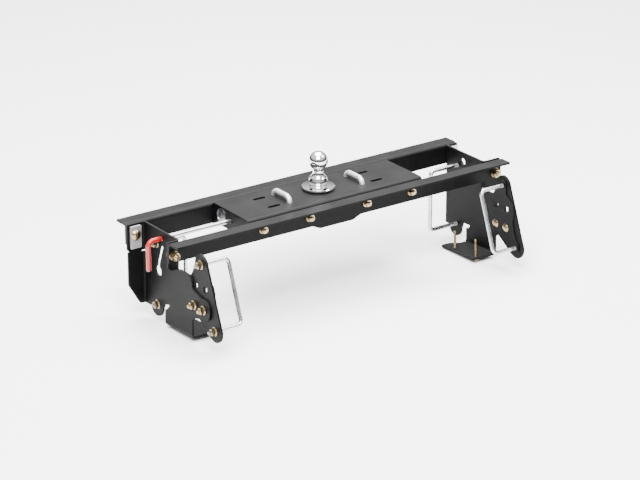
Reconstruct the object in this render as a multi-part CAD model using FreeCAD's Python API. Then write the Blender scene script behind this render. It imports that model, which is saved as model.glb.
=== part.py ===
import FreeCAD, Part
import math
import os
from FreeCAD import Vector

# Under-bed gooseneck hitch kit: a ball head bolted between two cross rails, with a folded
# side plate, a frame plate and two U-bolts at each end that clamp it to a truck's frame.
#
# Frame: X along the rails, with the driver's side at -X. +Y is the front of the truck, +Z is up.
# The origin is where the ball's axis meets the top face of the head plate. Millimetres.

SHEET = 6.35
BEND_OUT = 12.0
BEND_IN = BEND_OUT - SHEET

# Cross rails: two equal bent angles, one turned half a turn against the other.
RAIL_LENGTH = 1216.0
RAIL_SHIFT = 10.5
RAIL_TOP = -3.0
RAIL_HEIGHT = 63.5
WEB_FACE = 95.5
RAIL_EDGE = 147.0
RAIL_BOTTOM = RAIL_TOP - RAIL_HEIGHT
WEB_BACK = WEB_FACE + SHEET

# Ball head: an inverted channel that nests between the rails.
HEAD_HALF = 317.5
HEAD_LIP = -82.0
HEAD_LIP_FLAT = 60.0
HEAD_LIP_END = 95.0
HEAD_WALL = WEB_FACE - SHEET
HEAD_UNDER = -SHEET
HEAD_BOLT_X = (-271.0, -104.0, 104.0, 271.0)
HEAD_BOLT_Z = -34.0
HEAD_BOLT_D = 12.7
SLOT_X = 188.0
SLOT_Y = 38.5
SLOT_LENGTH = 44.0
SLOT_WIDTH = 13.0
PLUG_Y = 47.0
PLUG_Z = -28.0
PLUG_HOLE_D = 40.0

# Ball, its collar and its shank, in one forging.
BALL_D = 58.74
BALL_Z = 91.3
COLLAR_D = 100.0
COLLAR_TOP = 12.4
SHANK_D = 63.3
SHANK_END = -80.0
SOCKET_D = 63.5
SOCKET_OUT_D = 95.0
SOCKET_END = -86.0

# Release gear, all on one axis along X.
ROD_Z = -30.0
ROD_D = 12.7
LOCK_D = 25.0
LOCK_NOSE = -12.0
LOCK_TAIL = -148.0
LOCK_COLLAR = (-112.0, -106.0)
LOCK_COLLAR_D = 40.0
SPRING_SEAT = (-196.0, -190.0)
ROD_START = -129.5
GRIP_START = -552.0
GRIP_D = 15.6
HANDLE_X = -603.0
HANDLE_DROP = 92.0
HANDLE_BEND = 17.0
RUNNING = 0.05

# Safety chain loops, held down by a spring on each leg.
LOOP_X = 133.0
LOOP_Y = 41.0
LOOP_BAR = 16.0
LOOP_TOP = 16.0
LOOP_BEND = 19.0
LOOP_END = -76.0
LOOP_SPRING_TOP = HEAD_UNDER - 2.5
LOOP_SPRING_END = -58.0

# Side plates and frame plates. X is given as the distance out from the ball's axis.
SIDE_IN = 554.35
SIDE_OUT = SIDE_IN + SHEET
TAB_BOTTOM = -92.0
RELIEF = 5.0
PLATE_TOP = -4.0
FLANGE_BOTTOM = -259.0
FOOT_TOP = -283.65
FOOT_BOTTOM = FOOT_TOP - SHEET
FOOT_IN = 473.0
FOOT_Y = (-160.0, -17.0)
FOOT_FRONT = 4.0
FOOT_TILT = 2.8
FRAME_IN = SIDE_IN - SHEET
PACKING = 3.2
PACKING_IN = FRAME_IN - PACKING
JOINT_HOLES = ((-172.0, -179.0), (-221.0, -179.0))
SPARE_HOLES = ((-174.0, -119.0), (-222.5, -118.0))
SPARE_WIDTH = 19.0
NEAR_LOBE = (-221.0, -179.0)
NEAR_LOBE_R = 33.0
KEYHOLE_BULB = (15.0, -135.0)
UBOLT_D = 12.7
UBOLT_BEND = 15.0
REAR_LEGS = ((-202.0, -46.0), (-270.0, -229.0))
REAR_BASE = 462.0
FOOT_BOLTS = (-45.0, -148.0)
FOOT_BOLT_X = 490.0
FOOT_BOLT_TOP = 57.0

# The two ends are not quite alike, because the frame they fit is not.
PASSENGER = {
    "side": 1,
    "front_tab": 597.0,
    "rear_tab": 618.5,
    "flange": 597.0,
    "front_bolt": (580.5, -38.0),
    "rear_bolt": (594.0, -44.0),
    "block_width": 26.0,
    "rod_hole": (6.0, -33.0),
    "keyhole": False,
    "front_legs": ((33.0, -52.0), (33.0, -247.0)),
    "front_base": 450.0,
    "front_end": 573.0,
    "rear_end": 568.0,
    "lobe": (38.0, -258.0),
    "lobe_r": 30.0,
    "notch": ((0.0, -234.0), (-36.0, -233.0)),
}
DRIVER = {
    "side": -1,
    "front_tab": 618.5,
    "rear_tab": 597.0,
    "flange": 616.0,
    "front_bolt": (592.0, -38.0),
    "rear_bolt": (582.0, -44.0),
    "block_width": 35.0,
    "rod_hole": (0.0, ROD_Z),
    "keyhole": True,
    "front_legs": ((22.0, -51.0), (22.0, -243.0)),
    "front_base": 463.0,
    "front_end": 580.0,
    "rear_end": 577.0,
    "lobe": (27.0, -248.0),
    "lobe_r": 33.0,
    "notch": ((-14.0, -231.0), (-44.0, -224.0)),
}
ENDS = (("passenger", PASSENGER), ("driver", DRIVER))

X_AXIS = Vector(1, 0, 0)
Y_AXIS = Vector(0, 1, 0)
Z_AXIS = Vector(0, 0, 1)
ORIGIN = Vector(0, 0, 0)


def place(plane, u, v, w):
    """A point from two coordinates in a plane and one along its normal."""
    if plane == "XY":
        return Vector(u, v, w)
    if plane == "XZ":
        return Vector(u, w, v)
    return Vector(w, u, v)


def rounded_wire(plane, corners, w):
    """A closed outline. Each corner is (u, v) or (u, v, radius)."""
    points = [place(plane, c[0], c[1], w) for c in corners]
    radii = [c[2] if len(c) > 2 else 0.0 for c in corners]
    starts = []
    ends = []
    arcs = []
    count = len(points)
    for i in range(count):
        corner = points[i]
        if radii[i] == 0.0:
            starts.append(corner)
            ends.append(corner)
            arcs.append(None)
            continue
        back = (points[i - 1] - corner).normalize()
        ahead = (points[(i + 1) % count] - corner).normalize()
        half = back.getAngle(ahead) / 2
        reach = radii[i] / math.tan(half)
        start = corner + back * reach
        end = corner + ahead * reach
        inward = (back + ahead).normalize()
        middle = corner + inward * (radii[i] / math.sin(half) - radii[i])
        starts.append(start)
        ends.append(end)
        arcs.append(Part.Arc(start, middle, end).toShape())
    edges = []
    for i in range(count):
        if arcs[i] is not None:
            edges.append(arcs[i])
        following = starts[(i + 1) % count]
        if (following - ends[i]).Length > 0.001:
            edges.append(Part.makeLine(ends[i], following))
    return Part.Wire(edges)


def prism(plane, corners, low, high):
    """An outline pushed along the plane's normal from low to high."""
    face = Part.Face(rounded_wire(plane, corners, low))
    return face.extrude(place(plane, 0, 0, high - low))


def rod(axis, radius, start, end):
    """A cylinder from one point to another along an axis."""
    length = (end - start).dot(axis)
    return Part.makeCylinder(radius, length, start, axis)


def ring(axis, outer, inner, start, end):
    return rod(axis, outer, start, end).cut(rod(axis, inner, start, end))


def hexagon(axis, across_flats, start, height):
    """A hexagonal block with its chamfered corners, on an axis."""
    reach = across_flats / math.sqrt(3)
    side = X_AXIS if abs(axis.y) > 0.5 else Y_AXIS
    other = axis.cross(side)
    corners = []
    for i in range(7):
        angle = math.radians(60 * i)
        corners.append(start + side * (reach * math.cos(angle)) + other * (reach * math.sin(angle)))
    block = Part.Face(Part.makePolygon(corners)).extrude(axis * height)
    slope = reach * 0.95
    cone = Part.makeCone(slope + height * 1.2, slope, height * 1.2, start - axis * (height * 0.2), axis)
    return block.common(cone)


def hex_nut(axis, across_flats, bore, start, height):
    block = hexagon(axis, across_flats, start, height)
    return block.cut(rod(axis, bore / 2, start - axis, start + axis * (height + 1)))


def flange_nut(axis, across_flats, flange, bore, start, height):
    """A nut with its washer face made in one piece, face down at start."""
    foot = Part.makeCone(flange / 2, across_flats / 2 * 1.02, 4.0, start, axis)
    rim = rod(axis, flange / 2, start, start + axis * 1.5)
    body = hexagon(axis, across_flats, start, height)
    nut = body.fuse(foot).fuse(rim)
    return nut.cut(rod(axis, bore / 2, start - axis, start + axis * (height + 1)))


def square_prism(axis, width, start, height):
    side = X_AXIS if abs(axis.y) > 0.5 else Y_AXIS
    other = axis.cross(side)
    h = width / 2
    a = start + side * h + other * h
    b = start - side * h + other * h
    c = start - side * h - other * h
    d = start + side * h - other * h
    return Part.Face(Part.makePolygon([a, b, c, d, a])).extrude(axis * height)


def dome_head(axis, diameter, height, start):
    """The low domed head of a carriage bolt, flat face at start."""
    radius = (diameter * diameter / 4 + height * height) / (2 * height)
    ball = Part.makeSphere(radius, start - axis * (radius - height))
    return ball.common(rod(axis, diameter / 2, start, start + axis * (height + 1)))


def carriage_bolt(axis, shank, head, head_height, start, length, neck):
    """A carriage bolt: domed head behind start, square neck, then the shank along the axis."""
    bolt = dome_head(axis * -1, head, head_height, start)
    bolt = bolt.fuse(square_prism(axis, shank, start, neck))
    return bolt.fuse(rod(axis, shank / 2, start, start + axis * length))


def hex_bolt(axis, shank, across_flats, head_height, start, length):
    """A hex bolt: its head behind start, its shank along the axis."""
    head = hexagon(axis * -1, across_flats, start, head_height)
    return head.fuse(rod(axis, shank / 2, start, start + axis * length))


def bent_bar(points, bend, radius):
    """A round bar along straight runs, with a bend of the same radius at each corner."""
    edges = []
    last = points[0]
    for i in range(1, len(points) - 1):
        corner = points[i]
        back = (points[i - 1] - corner).normalize()
        ahead = (points[i + 1] - corner).normalize()
        half = back.getAngle(ahead) / 2
        reach = bend / math.tan(half)
        start = corner + back * reach
        end = corner + ahead * reach
        middle = corner + (back + ahead).normalize() * (bend / math.sin(half) - bend)
        edges.append(Part.makeLine(last, start))
        edges.append(Part.Arc(start, middle, end).toShape())
        last = end
    edges.append(Part.makeLine(last, points[-1]))
    path = Part.Wire(edges)
    direction = (points[1] - points[0]).normalize()
    section = Part.Wire(Part.makeCircle(radius, points[0], direction))
    return path.makePipeShell([section], True, False, 1)


def coil_spring(axis, start, length, mean_radius, wire, turns):
    """A helical spring with its wire wound about the axis from start."""
    pitch = (length - wire) / turns
    helix = Part.makeLongHelix(pitch, length - wire, mean_radius)
    section = Part.Wire(Part.makeCircle(wire / 2, Vector(mean_radius, 0, 0), Y_AXIS))
    spring = Part.Wire(helix).makePipeShell([section], True, True)
    spring.translate(Vector(0, 0, wire / 2))
    turn = FreeCAD.Rotation(Z_AXIS, axis)
    spring.Placement = FreeCAD.Placement(start, turn).multiply(spring.Placement)
    return spring


def across(shape):
    """The same shape on the driver's side."""
    return shape.mirror(ORIGIN, X_AXIS)


def both_sides(shapes):
    return shapes + [across(s) for s in shapes]


def on_side(shape, end):
    """A shape made for the passenger's side, put on its own side."""
    return shape if end["side"] > 0 else across(shape)


def save(name, shape):
    """Write one sub-part, or a group of like solids, to its own file."""
    if isinstance(shape, list):
        shape = Part.makeCompound(shape)
    shape.exportStep("parts/" + name + ".step")


# Cross rails ---------------------------------------------------------------------------------

os.makedirs("parts", exist_ok=True)


def rail():
    """The front rail, web towards the head and flange outwards, with its bolt holes."""
    low = -RAIL_LENGTH / 2 - RAIL_SHIFT
    section = [
        (WEB_FACE, RAIL_BOTTOM),
        (WEB_FACE, RAIL_TOP, BEND_OUT),
        (RAIL_EDGE, RAIL_TOP),
        (RAIL_EDGE, RAIL_TOP - SHEET),
        (WEB_BACK, RAIL_TOP - SHEET, BEND_IN),
        (WEB_BACK, RAIL_BOTTOM),
    ]
    return prism("YZ", section, low, low + RAIL_LENGTH)


def y_hole(x, z, diameter):
    return rod(Y_AXIS, diameter / 2, Vector(x, -200, z), Vector(x, 200, z))


front_rail = rail()
rear_rail = rail().mirror(ORIGIN, X_AXIS).mirror(ORIGIN, Y_AXIS)
for x in HEAD_BOLT_X:
    front_rail = front_rail.cut(y_hole(x, HEAD_BOLT_Z, HEAD_BOLT_D + 0.8))
    rear_rail = rear_rail.cut(y_hole(x, HEAD_BOLT_Z, HEAD_BOLT_D + 0.8))
for name, end in ENDS:
    x, z = end["front_bolt"]
    front_rail = front_rail.cut(y_hole(end["side"] * x, z, 16.6))
    x, z = end["rear_bolt"]
    rear_rail = rear_rail.cut(y_hole(end["side"] * x, z, 16.6))
save("front_rail", front_rail)
save("rear_rail", rear_rail)

# Ball head -----------------------------------------------------------------------------------


def head_channel():
    """The folded head: top plate and two side walls, deeper in the middle under the ball."""
    section = [
        (-WEB_FACE, HEAD_LIP),
        (-WEB_FACE, 0, BEND_OUT),
        (WEB_FACE, 0, BEND_OUT),
        (WEB_FACE, HEAD_LIP),
        (HEAD_WALL, HEAD_LIP),
        (HEAD_WALL, HEAD_UNDER, BEND_IN),
        (-HEAD_WALL, HEAD_UNDER, BEND_IN),
        (-HEAD_WALL, HEAD_LIP),
    ]
    channel = prism("YZ", section, -HEAD_HALF, HEAD_HALF)
    side_view = [
        (-HEAD_HALF, RAIL_BOTTOM),
        (-HEAD_HALF, 1),
        (HEAD_HALF, 1),
        (HEAD_HALF, RAIL_BOTTOM),
        (HEAD_LIP_END, RAIL_BOTTOM, 20),
        (HEAD_LIP_FLAT, HEAD_LIP, 20),
        (-HEAD_LIP_FLAT, HEAD_LIP, 20),
        (-HEAD_LIP_END, RAIL_BOTTOM, 20),
    ]
    channel = channel.common(prism("XZ", side_view, -200, 200))
    channel = channel.cut(rod(Z_AXIS, SOCKET_D / 2, Vector(0, 0, -20), Vector(0, 0, 20)))
    for x in (-LOOP_X, LOOP_X):
        for y in (-LOOP_Y, LOOP_Y):
            hole = rod(Z_AXIS, LOOP_BAR / 2 + 0.5, Vector(x, y, -20), Vector(x, y, 20))
            channel = channel.cut(hole)
    for x in (-SLOT_X, SLOT_X):
        for y in (-SLOT_Y, SLOT_Y):
            h = SLOT_LENGTH / 2
            w = SLOT_WIDTH / 2
            r = w * 0.98
            corners = [(x - h, y - w, r), (x + h, y - w, r), (x + h, y + w, r), (x - h, y + w, r)]
            channel = channel.cut(prism("XY", corners, -20, 20))
    for x in HEAD_BOLT_X:
        channel = channel.cut(y_hole(x, HEAD_BOLT_Z, HEAD_BOLT_D + 0.8))
    return channel


def end_plate():
    """The plate welded into the end of the channel, with the release rod's hole."""
    outline = [
        (-HEAD_WALL, HEAD_UNDER, BEND_IN),
        (HEAD_WALL, HEAD_UNDER, BEND_IN),
        (HEAD_WALL, -60, 8),
        (-HEAD_WALL, -60, 8),
    ]
    plate = prism("YZ", outline, -HEAD_HALF, -HEAD_HALF + SHEET)
    hole = rod(X_AXIS, ROD_D / 2 + RUNNING, Vector(-330, 0, ROD_Z), Vector(-300, 0, ROD_Z))
    window = rod(X_AXIS, PLUG_HOLE_D / 2, Vector(-330, PLUG_Y, PLUG_Z), Vector(-300, PLUG_Y, PLUG_Z))
    return plate.cut(hole).cut(window)


driver_end_plate = end_plate()
save("head_channel", head_channel())
save("driver_end_plate", driver_end_plate)
save("passenger_end_plate", across(driver_end_plate))


def access_plug():
    """A pressed zinc cup in the end plate's round window, open inwards, with a rim outside."""
    out = -HEAD_HALF
    rim_start = Vector(out - 2, PLUG_Y, PLUG_Z)
    rim = rod(X_AXIS, PLUG_HOLE_D / 2 + 2.5, rim_start, Vector(out, PLUG_Y, PLUG_Z))
    cup_end = Vector(out + SHEET + 4, PLUG_Y, PLUG_Z)
    cup = rod(X_AXIS, PLUG_HOLE_D / 2 - RUNNING, rim_start, cup_end)
    dish = rod(X_AXIS, PLUG_HOLE_D / 2 - 1.5, rim_start, rim_start + X_AXIS * 1.2)
    hollow = rod(X_AXIS, PLUG_HOLE_D / 2 - 1.5, rim_start + X_AXIS * 2.7, cup_end + X_AXIS)
    return rim.fuse(cup).cut(dish).cut(hollow)


plug = access_plug()
save("access_plugs", [plug, across(plug)])


def ball_socket():
    """The thick tube welded under the head plate that the ball's shank drops into."""
    top = Vector(0, 0, HEAD_UNDER)
    bottom = Vector(0, 0, SOCKET_END)
    tube = ring(Z_AXIS, SOCKET_OUT_D / 2, SOCKET_D / 2, bottom, top)
    return tube.cut(rod(X_AXIS, LOCK_D / 2 + RUNNING, Vector(-60, 0, ROD_Z), Vector(0, 0, ROD_Z)))


def cross_rib(x):
    """A rib from wall to wall beside the socket, with a round way for the release gear."""
    outline = [
        (-HEAD_WALL, HEAD_UNDER, BEND_IN),
        (HEAD_WALL, HEAD_UNDER, BEND_IN),
        (HEAD_WALL, -58, 6),
        (-HEAD_WALL, -58, 6),
    ]
    plate = prism("YZ", outline, x - SHEET / 2, x + SHEET / 2)
    way = rod(X_AXIS, 24, Vector(x - 10, 0, ROD_Z), Vector(x + 10, 0, ROD_Z))
    return plate.cut(way)


def socket_gusset(side):
    """A triangle from the socket's side to the channel's wall."""
    near = side * (SOCKET_OUT_D / 2 - 0.5)
    far = side * HEAD_WALL
    outline = [(near, HEAD_UNDER), (far, HEAD_UNDER), (far, -40), (near, -78)]
    plate = prism("YZ", outline, -SHEET / 2, SHEET / 2)
    tube = rod(Z_AXIS, SOCKET_OUT_D / 2, Vector(0, 0, SOCKET_END), Vector(0, 0, 0))
    return plate.cut(tube)


def weld_notch(plate):
    """Clear the channel's inner bend at a plate's upper corners."""
    for side in (-1, 1):
        corner = Vector(0, side * HEAD_WALL, HEAD_UNDER)
        bar = rod(X_AXIS, BEND_IN, corner - X_AXIS * 400, corner + X_AXIS * 400)
        plate = plate.cut(bar)
    return plate


save("ball_socket", ball_socket())
save("socket_gussets", [weld_notch(socket_gusset(-1)), weld_notch(socket_gusset(1))])
save("cross_ribs", [weld_notch(cross_rib(-230.0)), weld_notch(cross_rib(230.0))])


def hitch_ball():
    """The ball on its flared neck and collar, turned about Z, with a cross hole in its shank."""
    radius = BALL_D / 2
    neck = 16.2
    meet = BALL_Z - math.sqrt(radius * radius - neck * neck)
    outline = [
        (0, SHANK_END),
        (SHANK_D / 2 - 3, SHANK_END),
        (SHANK_D / 2, SHANK_END + 3),
        (SHANK_D / 2, 0.2),
        (40, 0.2),
        (COLLAR_D / 2 - 1.2, 5.5),
        (COLLAR_D / 2, 6.7),
        (COLLAR_D / 2, COLLAR_TOP - 1.2),
        (COLLAR_D / 2 - 1.2, COLLAR_TOP),
        (28, COLLAR_TOP + 1.6),
        (26.2, 17),
        (26.6, 21),
        (28.5, 27),
        (28.5, 31.5),
        (25.6, 39),
    ]
    points = [Vector(r, 0, z) for r, z in outline]
    edges = []
    for i in range(len(points) - 1):
        edges.append(Part.makeLine(points[i], points[i + 1]))
    top_of_neck = Vector(neck, 0, meet)
    waist = Vector(17.6, 0, 50)
    edges.append(Part.Arc(points[-1], waist, top_of_neck).toShape())
    side = Vector(radius, 0, BALL_Z)
    crown = Vector(0, 0, BALL_Z + radius)
    edges.append(Part.Arc(top_of_neck, side, crown).toShape())
    edges.append(Part.makeLine(crown, points[0]))
    turned = Part.Face(Part.Wire(edges)).revolve(ORIGIN, Z_AXIS, 360)
    lock_hole = rod(X_AXIS, LOCK_D / 2 + 0.3, Vector(-60, 0, ROD_Z), Vector(60, 0, ROD_Z))
    return turned.cut(lock_hole)


save("hitch_ball", hitch_ball())

# Release gear --------------------------------------------------------------------------------


def on_axis(x):
    return Vector(x, 0, ROD_Z)


def guide_block():
    """The bored block welded beside the socket that carries the lock pin."""
    outline = [(-25, HEAD_UNDER), (25, HEAD_UNDER), (25, -54, 6), (-25, -54, 6)]
    block = prism("YZ", outline, -98.0, -SOCKET_OUT_D / 2 + 4)
    tube = rod(Z_AXIS, SOCKET_OUT_D / 2, Vector(0, 0, SOCKET_END), Vector(0, 0, 0))
    bore = rod(X_AXIS, LOCK_D / 2 + RUNNING, on_axis(-110), on_axis(-30))
    return block.cut(tube).cut(bore)


def spring_seat():
    """The small plate hung from the head plate that the lock spring pushes against."""
    outline = [(-27, HEAD_UNDER), (27, HEAD_UNDER), (27, -56, 10), (-27, -56, 10)]
    plate = prism("YZ", outline, SPRING_SEAT[0], SPRING_SEAT[1])
    return plate.cut(rod(X_AXIS, ROD_D / 2 + RUNNING, on_axis(-210), on_axis(-180)))


def lock_pin():
    """The pin that crosses the ball's shank, with a collar for its spring."""
    pin = rod(X_AXIS, LOCK_D / 2, on_axis(LOCK_TAIL), on_axis(LOCK_NOSE - 4))
    nose = Part.makeCone(LOCK_D / 2, LOCK_D / 2 - 3, 4, on_axis(LOCK_NOSE - 4), X_AXIS)
    collar = rod(X_AXIS, LOCK_COLLAR_D / 2, on_axis(LOCK_COLLAR[0]), on_axis(LOCK_COLLAR[1]))
    bore = rod(X_AXIS, ROD_D / 2 + RUNNING, on_axis(LOCK_TAIL - 1), on_axis(ROD_START + 0.5))
    pin = pin.fuse(nose).fuse(collar).cut(bore)
    for pin_hole in swivel_pins():
        pin = pin.cut(pin_hole)
    return pin


def swivel_pins():
    """Two cross pins that sit in the rod's groove, so that it can turn but not pull out."""
    pins = []
    for lift in (-6.6, 6.6):
        start = Vector(-139, -9.5, ROD_Z + lift)
        pins.append(rod(Y_AXIS, 2.25, start, Vector(-139, 9.5, ROD_Z + lift)))
    return pins


def release_rod():
    """The zinc rod from the lock pin out through the side plate, bent down into a handle."""
    corner = Vector(HANDLE_X, 0, ROD_Z)
    tip = Vector(HANDLE_X, 0, ROD_Z - HANDLE_DROP + 2)
    bar = bent_bar([on_axis(ROD_START), corner, tip], HANDLE_BEND, ROD_D / 2)
    groove = ring(X_AXIS, ROD_D / 2 + 1, 4.25, on_axis(-141.6), on_axis(-136.4))
    return bar.cut(groove)


def handle_grip():
    """The red dipped grip over the rod's outer end, closed at the tip."""
    corner = Vector(HANDLE_X, 0, ROD_Z)
    tip = Vector(HANDLE_X, 0, ROD_Z - HANDLE_DROP)
    rod_tip = Vector(HANDLE_X, 0, ROD_Z - HANDLE_DROP + 2)
    skin = bent_bar([on_axis(GRIP_START), corner, tip], HANDLE_BEND, GRIP_D / 2)
    core = bent_bar([on_axis(GRIP_START + 5), corner, rod_tip], HANDLE_BEND, ROD_D / 2)
    return skin.cut(core)


save("lock_guide_block", guide_block())
save("lock_spring_seat", weld_notch(spring_seat()))
save("lock_pin", lock_pin())
save("swivel_pins", swivel_pins())
save("release_rod", release_rod())
save("handle_grip", handle_grip())
lock_spring_length = LOCK_COLLAR[0] - SPRING_SEAT[1] - 0.6
save("lock_spring", coil_spring(X_AXIS, on_axis(SPRING_SEAT[1] + 0.3), lock_spring_length, 15.8, 3.6, 9))

# Safety chain loops --------------------------------------------------------------------------


def chain_loop(x):
    """A round bar bent to a flat arch, with both legs down through the head plate."""
    corners = [
        Vector(x, -LOOP_Y, LOOP_END),
        Vector(x, -LOOP_Y, LOOP_TOP),
        Vector(x, LOOP_Y, LOOP_TOP),
        Vector(x, LOOP_Y, LOOP_END),
    ]
    return bent_bar(corners, LOOP_BEND, LOOP_BAR / 2)


def on_legs(x, make):
    """One piece on each leg of the loop at x."""
    return [make(Vector(x, y, 0)) for y in (-LOOP_Y, LOOP_Y)]


def top_washer(leg):
    return ring(Z_AXIS, 15, 8.6, leg + Z_AXIS * (HEAD_UNDER - 2.2), leg + Z_AXIS * HEAD_UNDER)


def end_washer(leg):
    low = leg + Z_AXIS * (LOOP_SPRING_END - 3)
    return ring(Z_AXIS, 15, 8.02, low, low + Z_AXIS * 2.7)


def lock_nut(leg):
    top = leg + Z_AXIS * (LOOP_SPRING_END - 3)
    return hex_nut(Z_AXIS * -1, 24, 16.0, top, 12)


def loop_spring(leg):
    low = leg + Z_AXIS * LOOP_SPRING_END
    return coil_spring(Z_AXIS, low, LOOP_SPRING_TOP - LOOP_SPRING_END, 11.0, 3.0, 4)


for name, x in (("driver", -LOOP_X), ("passenger", LOOP_X)):
    save(name + "_chain_loop", chain_loop(x))
    save(name + "_loop_springs", on_legs(x, loop_spring))
    save(name + "_loop_washers", on_legs(x, end_washer))
    save(name + "_loop_nuts", on_legs(x, lock_nut))
save("loop_seat_washers", on_legs(-LOOP_X, top_washer) + on_legs(LOOP_X, top_washer))

# Side plates and frame plates ----------------------------------------------------------------


def x_hole(y, z, diameter):
    return rod(X_AXIS, diameter / 2, Vector(500, y, z), Vector(620, y, z))


def square_hole(y, z, width):
    h = width / 2
    corners = [(y - h, z - h, 0.5), (y + h, z - h, 0.5), (y + h, z + h, 0.5), (y - h, z + h, 0.5)]
    return prism("YZ", corners, 500, 620)


def half_space(side):
    """A box over one side of the rails' middle plane."""
    low = 0 if side > 0 else -300
    return Part.makeBox(2000, 300, 600, Vector(-1000, low, -400))


def upper_channel(end):
    """The upper part of the side plate: a channel whose tabs lie on the rails' webs."""
    section = [
        (end["front_tab"], WEB_FACE),
        (SIDE_IN, WEB_FACE, BEND_OUT),
        (SIDE_IN, -WEB_FACE, BEND_OUT),
        (end["rear_tab"], -WEB_FACE),
        (end["rear_tab"], -HEAD_WALL),
        (SIDE_OUT, -HEAD_WALL, BEND_IN),
        (SIDE_OUT, HEAD_WALL, BEND_IN),
        (end["front_tab"], HEAD_WALL),
    ]
    body = prism("XY", section, TAB_BOTTOM, PLATE_TOP)
    for key, low, high in (("front_tab", 0, 120), ("rear_tab", -120, 0)):
        out = end[key]
        corner = [(out - 10, TAB_BOTTOM - 1), (out + 1, TAB_BOTTOM - 1), (out + 1, TAB_BOTTOM + 10)]
        body = body.cut(prism("XZ", corner, low, high))
    return body


def lower_panel(end):
    """The lower part: the flat panel, with a lobe for each fastener that hangs below it."""
    lobe_y, lobe_z = end["lobe"]
    lobe_r = end["lobe_r"]
    notch_top, notch_apex = end["notch"]
    outline = [
        (WEB_FACE - BEND_OUT, TAB_BOTTOM - RELIEF - 2),
        (WEB_FACE - BEND_OUT, FLANGE_BOTTOM),
        (lobe_y, FLANGE_BOTTOM),
        (lobe_y, lobe_z),
        (lobe_y - lobe_r, lobe_z + 2, 3),
        (notch_top[0], notch_top[1], 2),
        (notch_apex[0], notch_apex[1], 2),
        (FOOT_Y[1], notch_apex[1] - 28, 2),
        (FOOT_Y[1], -264),
        (FOOT_Y[0], -264),
        (FOOT_Y[0], -224, 14),
        (NEAR_LOBE[0] + 10, NEAR_LOBE[1] - NEAR_LOBE_R + 2, 6),
        NEAR_LOBE,
        (NEAR_LOBE[0] + 10, NEAR_LOBE[1] + NEAR_LOBE_R - 2, 8),
        (-163, -134, 14),
        (-163, -110, 20),
        (-148, TAB_BOTTOM - 1, 12),
        (-WEB_FACE + BEND_OUT, TAB_BOTTOM - 1),
        (-WEB_FACE + BEND_OUT, TAB_BOTTOM + 8),
        (60, TAB_BOTTOM + 8),
        (60, TAB_BOTTOM - RELIEF - 2),
    ]
    panel = prism("YZ", outline, SIDE_IN, SIDE_OUT)
    for (y, z), radius in ((NEAR_LOBE, NEAR_LOBE_R), (end["lobe"], lobe_r)):
        panel = panel.fuse(rod(X_AXIS, radius, Vector(SIDE_IN, y, z), Vector(SIDE_OUT, y, z)))
    return panel


def front_flange(end):
    """The stiffening flange along the lower panel's front edge, with a bevelled foot."""
    out = end["flange"]
    section = [
        (out, WEB_FACE),
        (SIDE_IN, WEB_FACE, BEND_OUT),
        (SIDE_IN, WEB_FACE - BEND_OUT - 1),
        (SIDE_OUT, WEB_FACE - BEND_OUT - 1),
        (SIDE_OUT, HEAD_WALL, BEND_IN),
        (out, HEAD_WALL),
    ]
    body = prism("XY", section, FLANGE_BOTTOM, TAB_BOTTOM + 0.5)
    side_view = [
        (540, 0),
        (out, 0),
        (out, -195, 12),
        (SIDE_OUT + (out - SIDE_OUT) * 0.3, FLANGE_BOTTOM, 8),
        (540, FLANGE_BOTTOM),
    ]
    return body.common(prism("XZ", side_view, 60, 120))


def tilt(shape):
    """Lean a shape forwards about the foot's rear edge, as the truck's frame slopes."""
    leaned = shape.copy()
    leaned.rotate(Vector(0, FOOT_Y[0], FOOT_BOTTOM), X_AXIS, -FOOT_TILT)
    return leaned


def foot():
    """The bottom flange, bent inwards under the truck's frame."""
    section = [
        (SIDE_OUT, -240),
        (SIDE_OUT, FOOT_BOTTOM, BEND_OUT),
        (FOOT_IN, FOOT_BOTTOM),
        (FOOT_IN, FOOT_TOP),
        (SIDE_IN, FOOT_TOP, BEND_IN),
        (SIDE_IN, -240),
    ]
    bent = tilt(prism("XZ", section, FOOT_Y[0] - 20, FOOT_FRONT + 20))
    plan = [
        (570, FOOT_Y[0]),
        (570, FOOT_Y[1]),
        (531, FOOT_Y[1], 6),
        (505, FOOT_FRONT, 6),
        (FOOT_IN, FOOT_FRONT, 5),
        (FOOT_IN, FOOT_Y[0], 5),
    ]
    return bent.common(prism("XY", plan, -320, -230))


def keyhole():
    """A leaning slot that opens into a round hole, for a bolt already on the frame."""
    slot = [
        (-14, -52, 5),
        (0, -47, 5),
        (21, -106, 20),
        (24, -135),
        (8, -135),
        (7.5, -109, 20),
    ]
    return prism("YZ", slot, 500, 620).fuse(x_hole(*KEYHOLE_BULB, 32))


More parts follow.
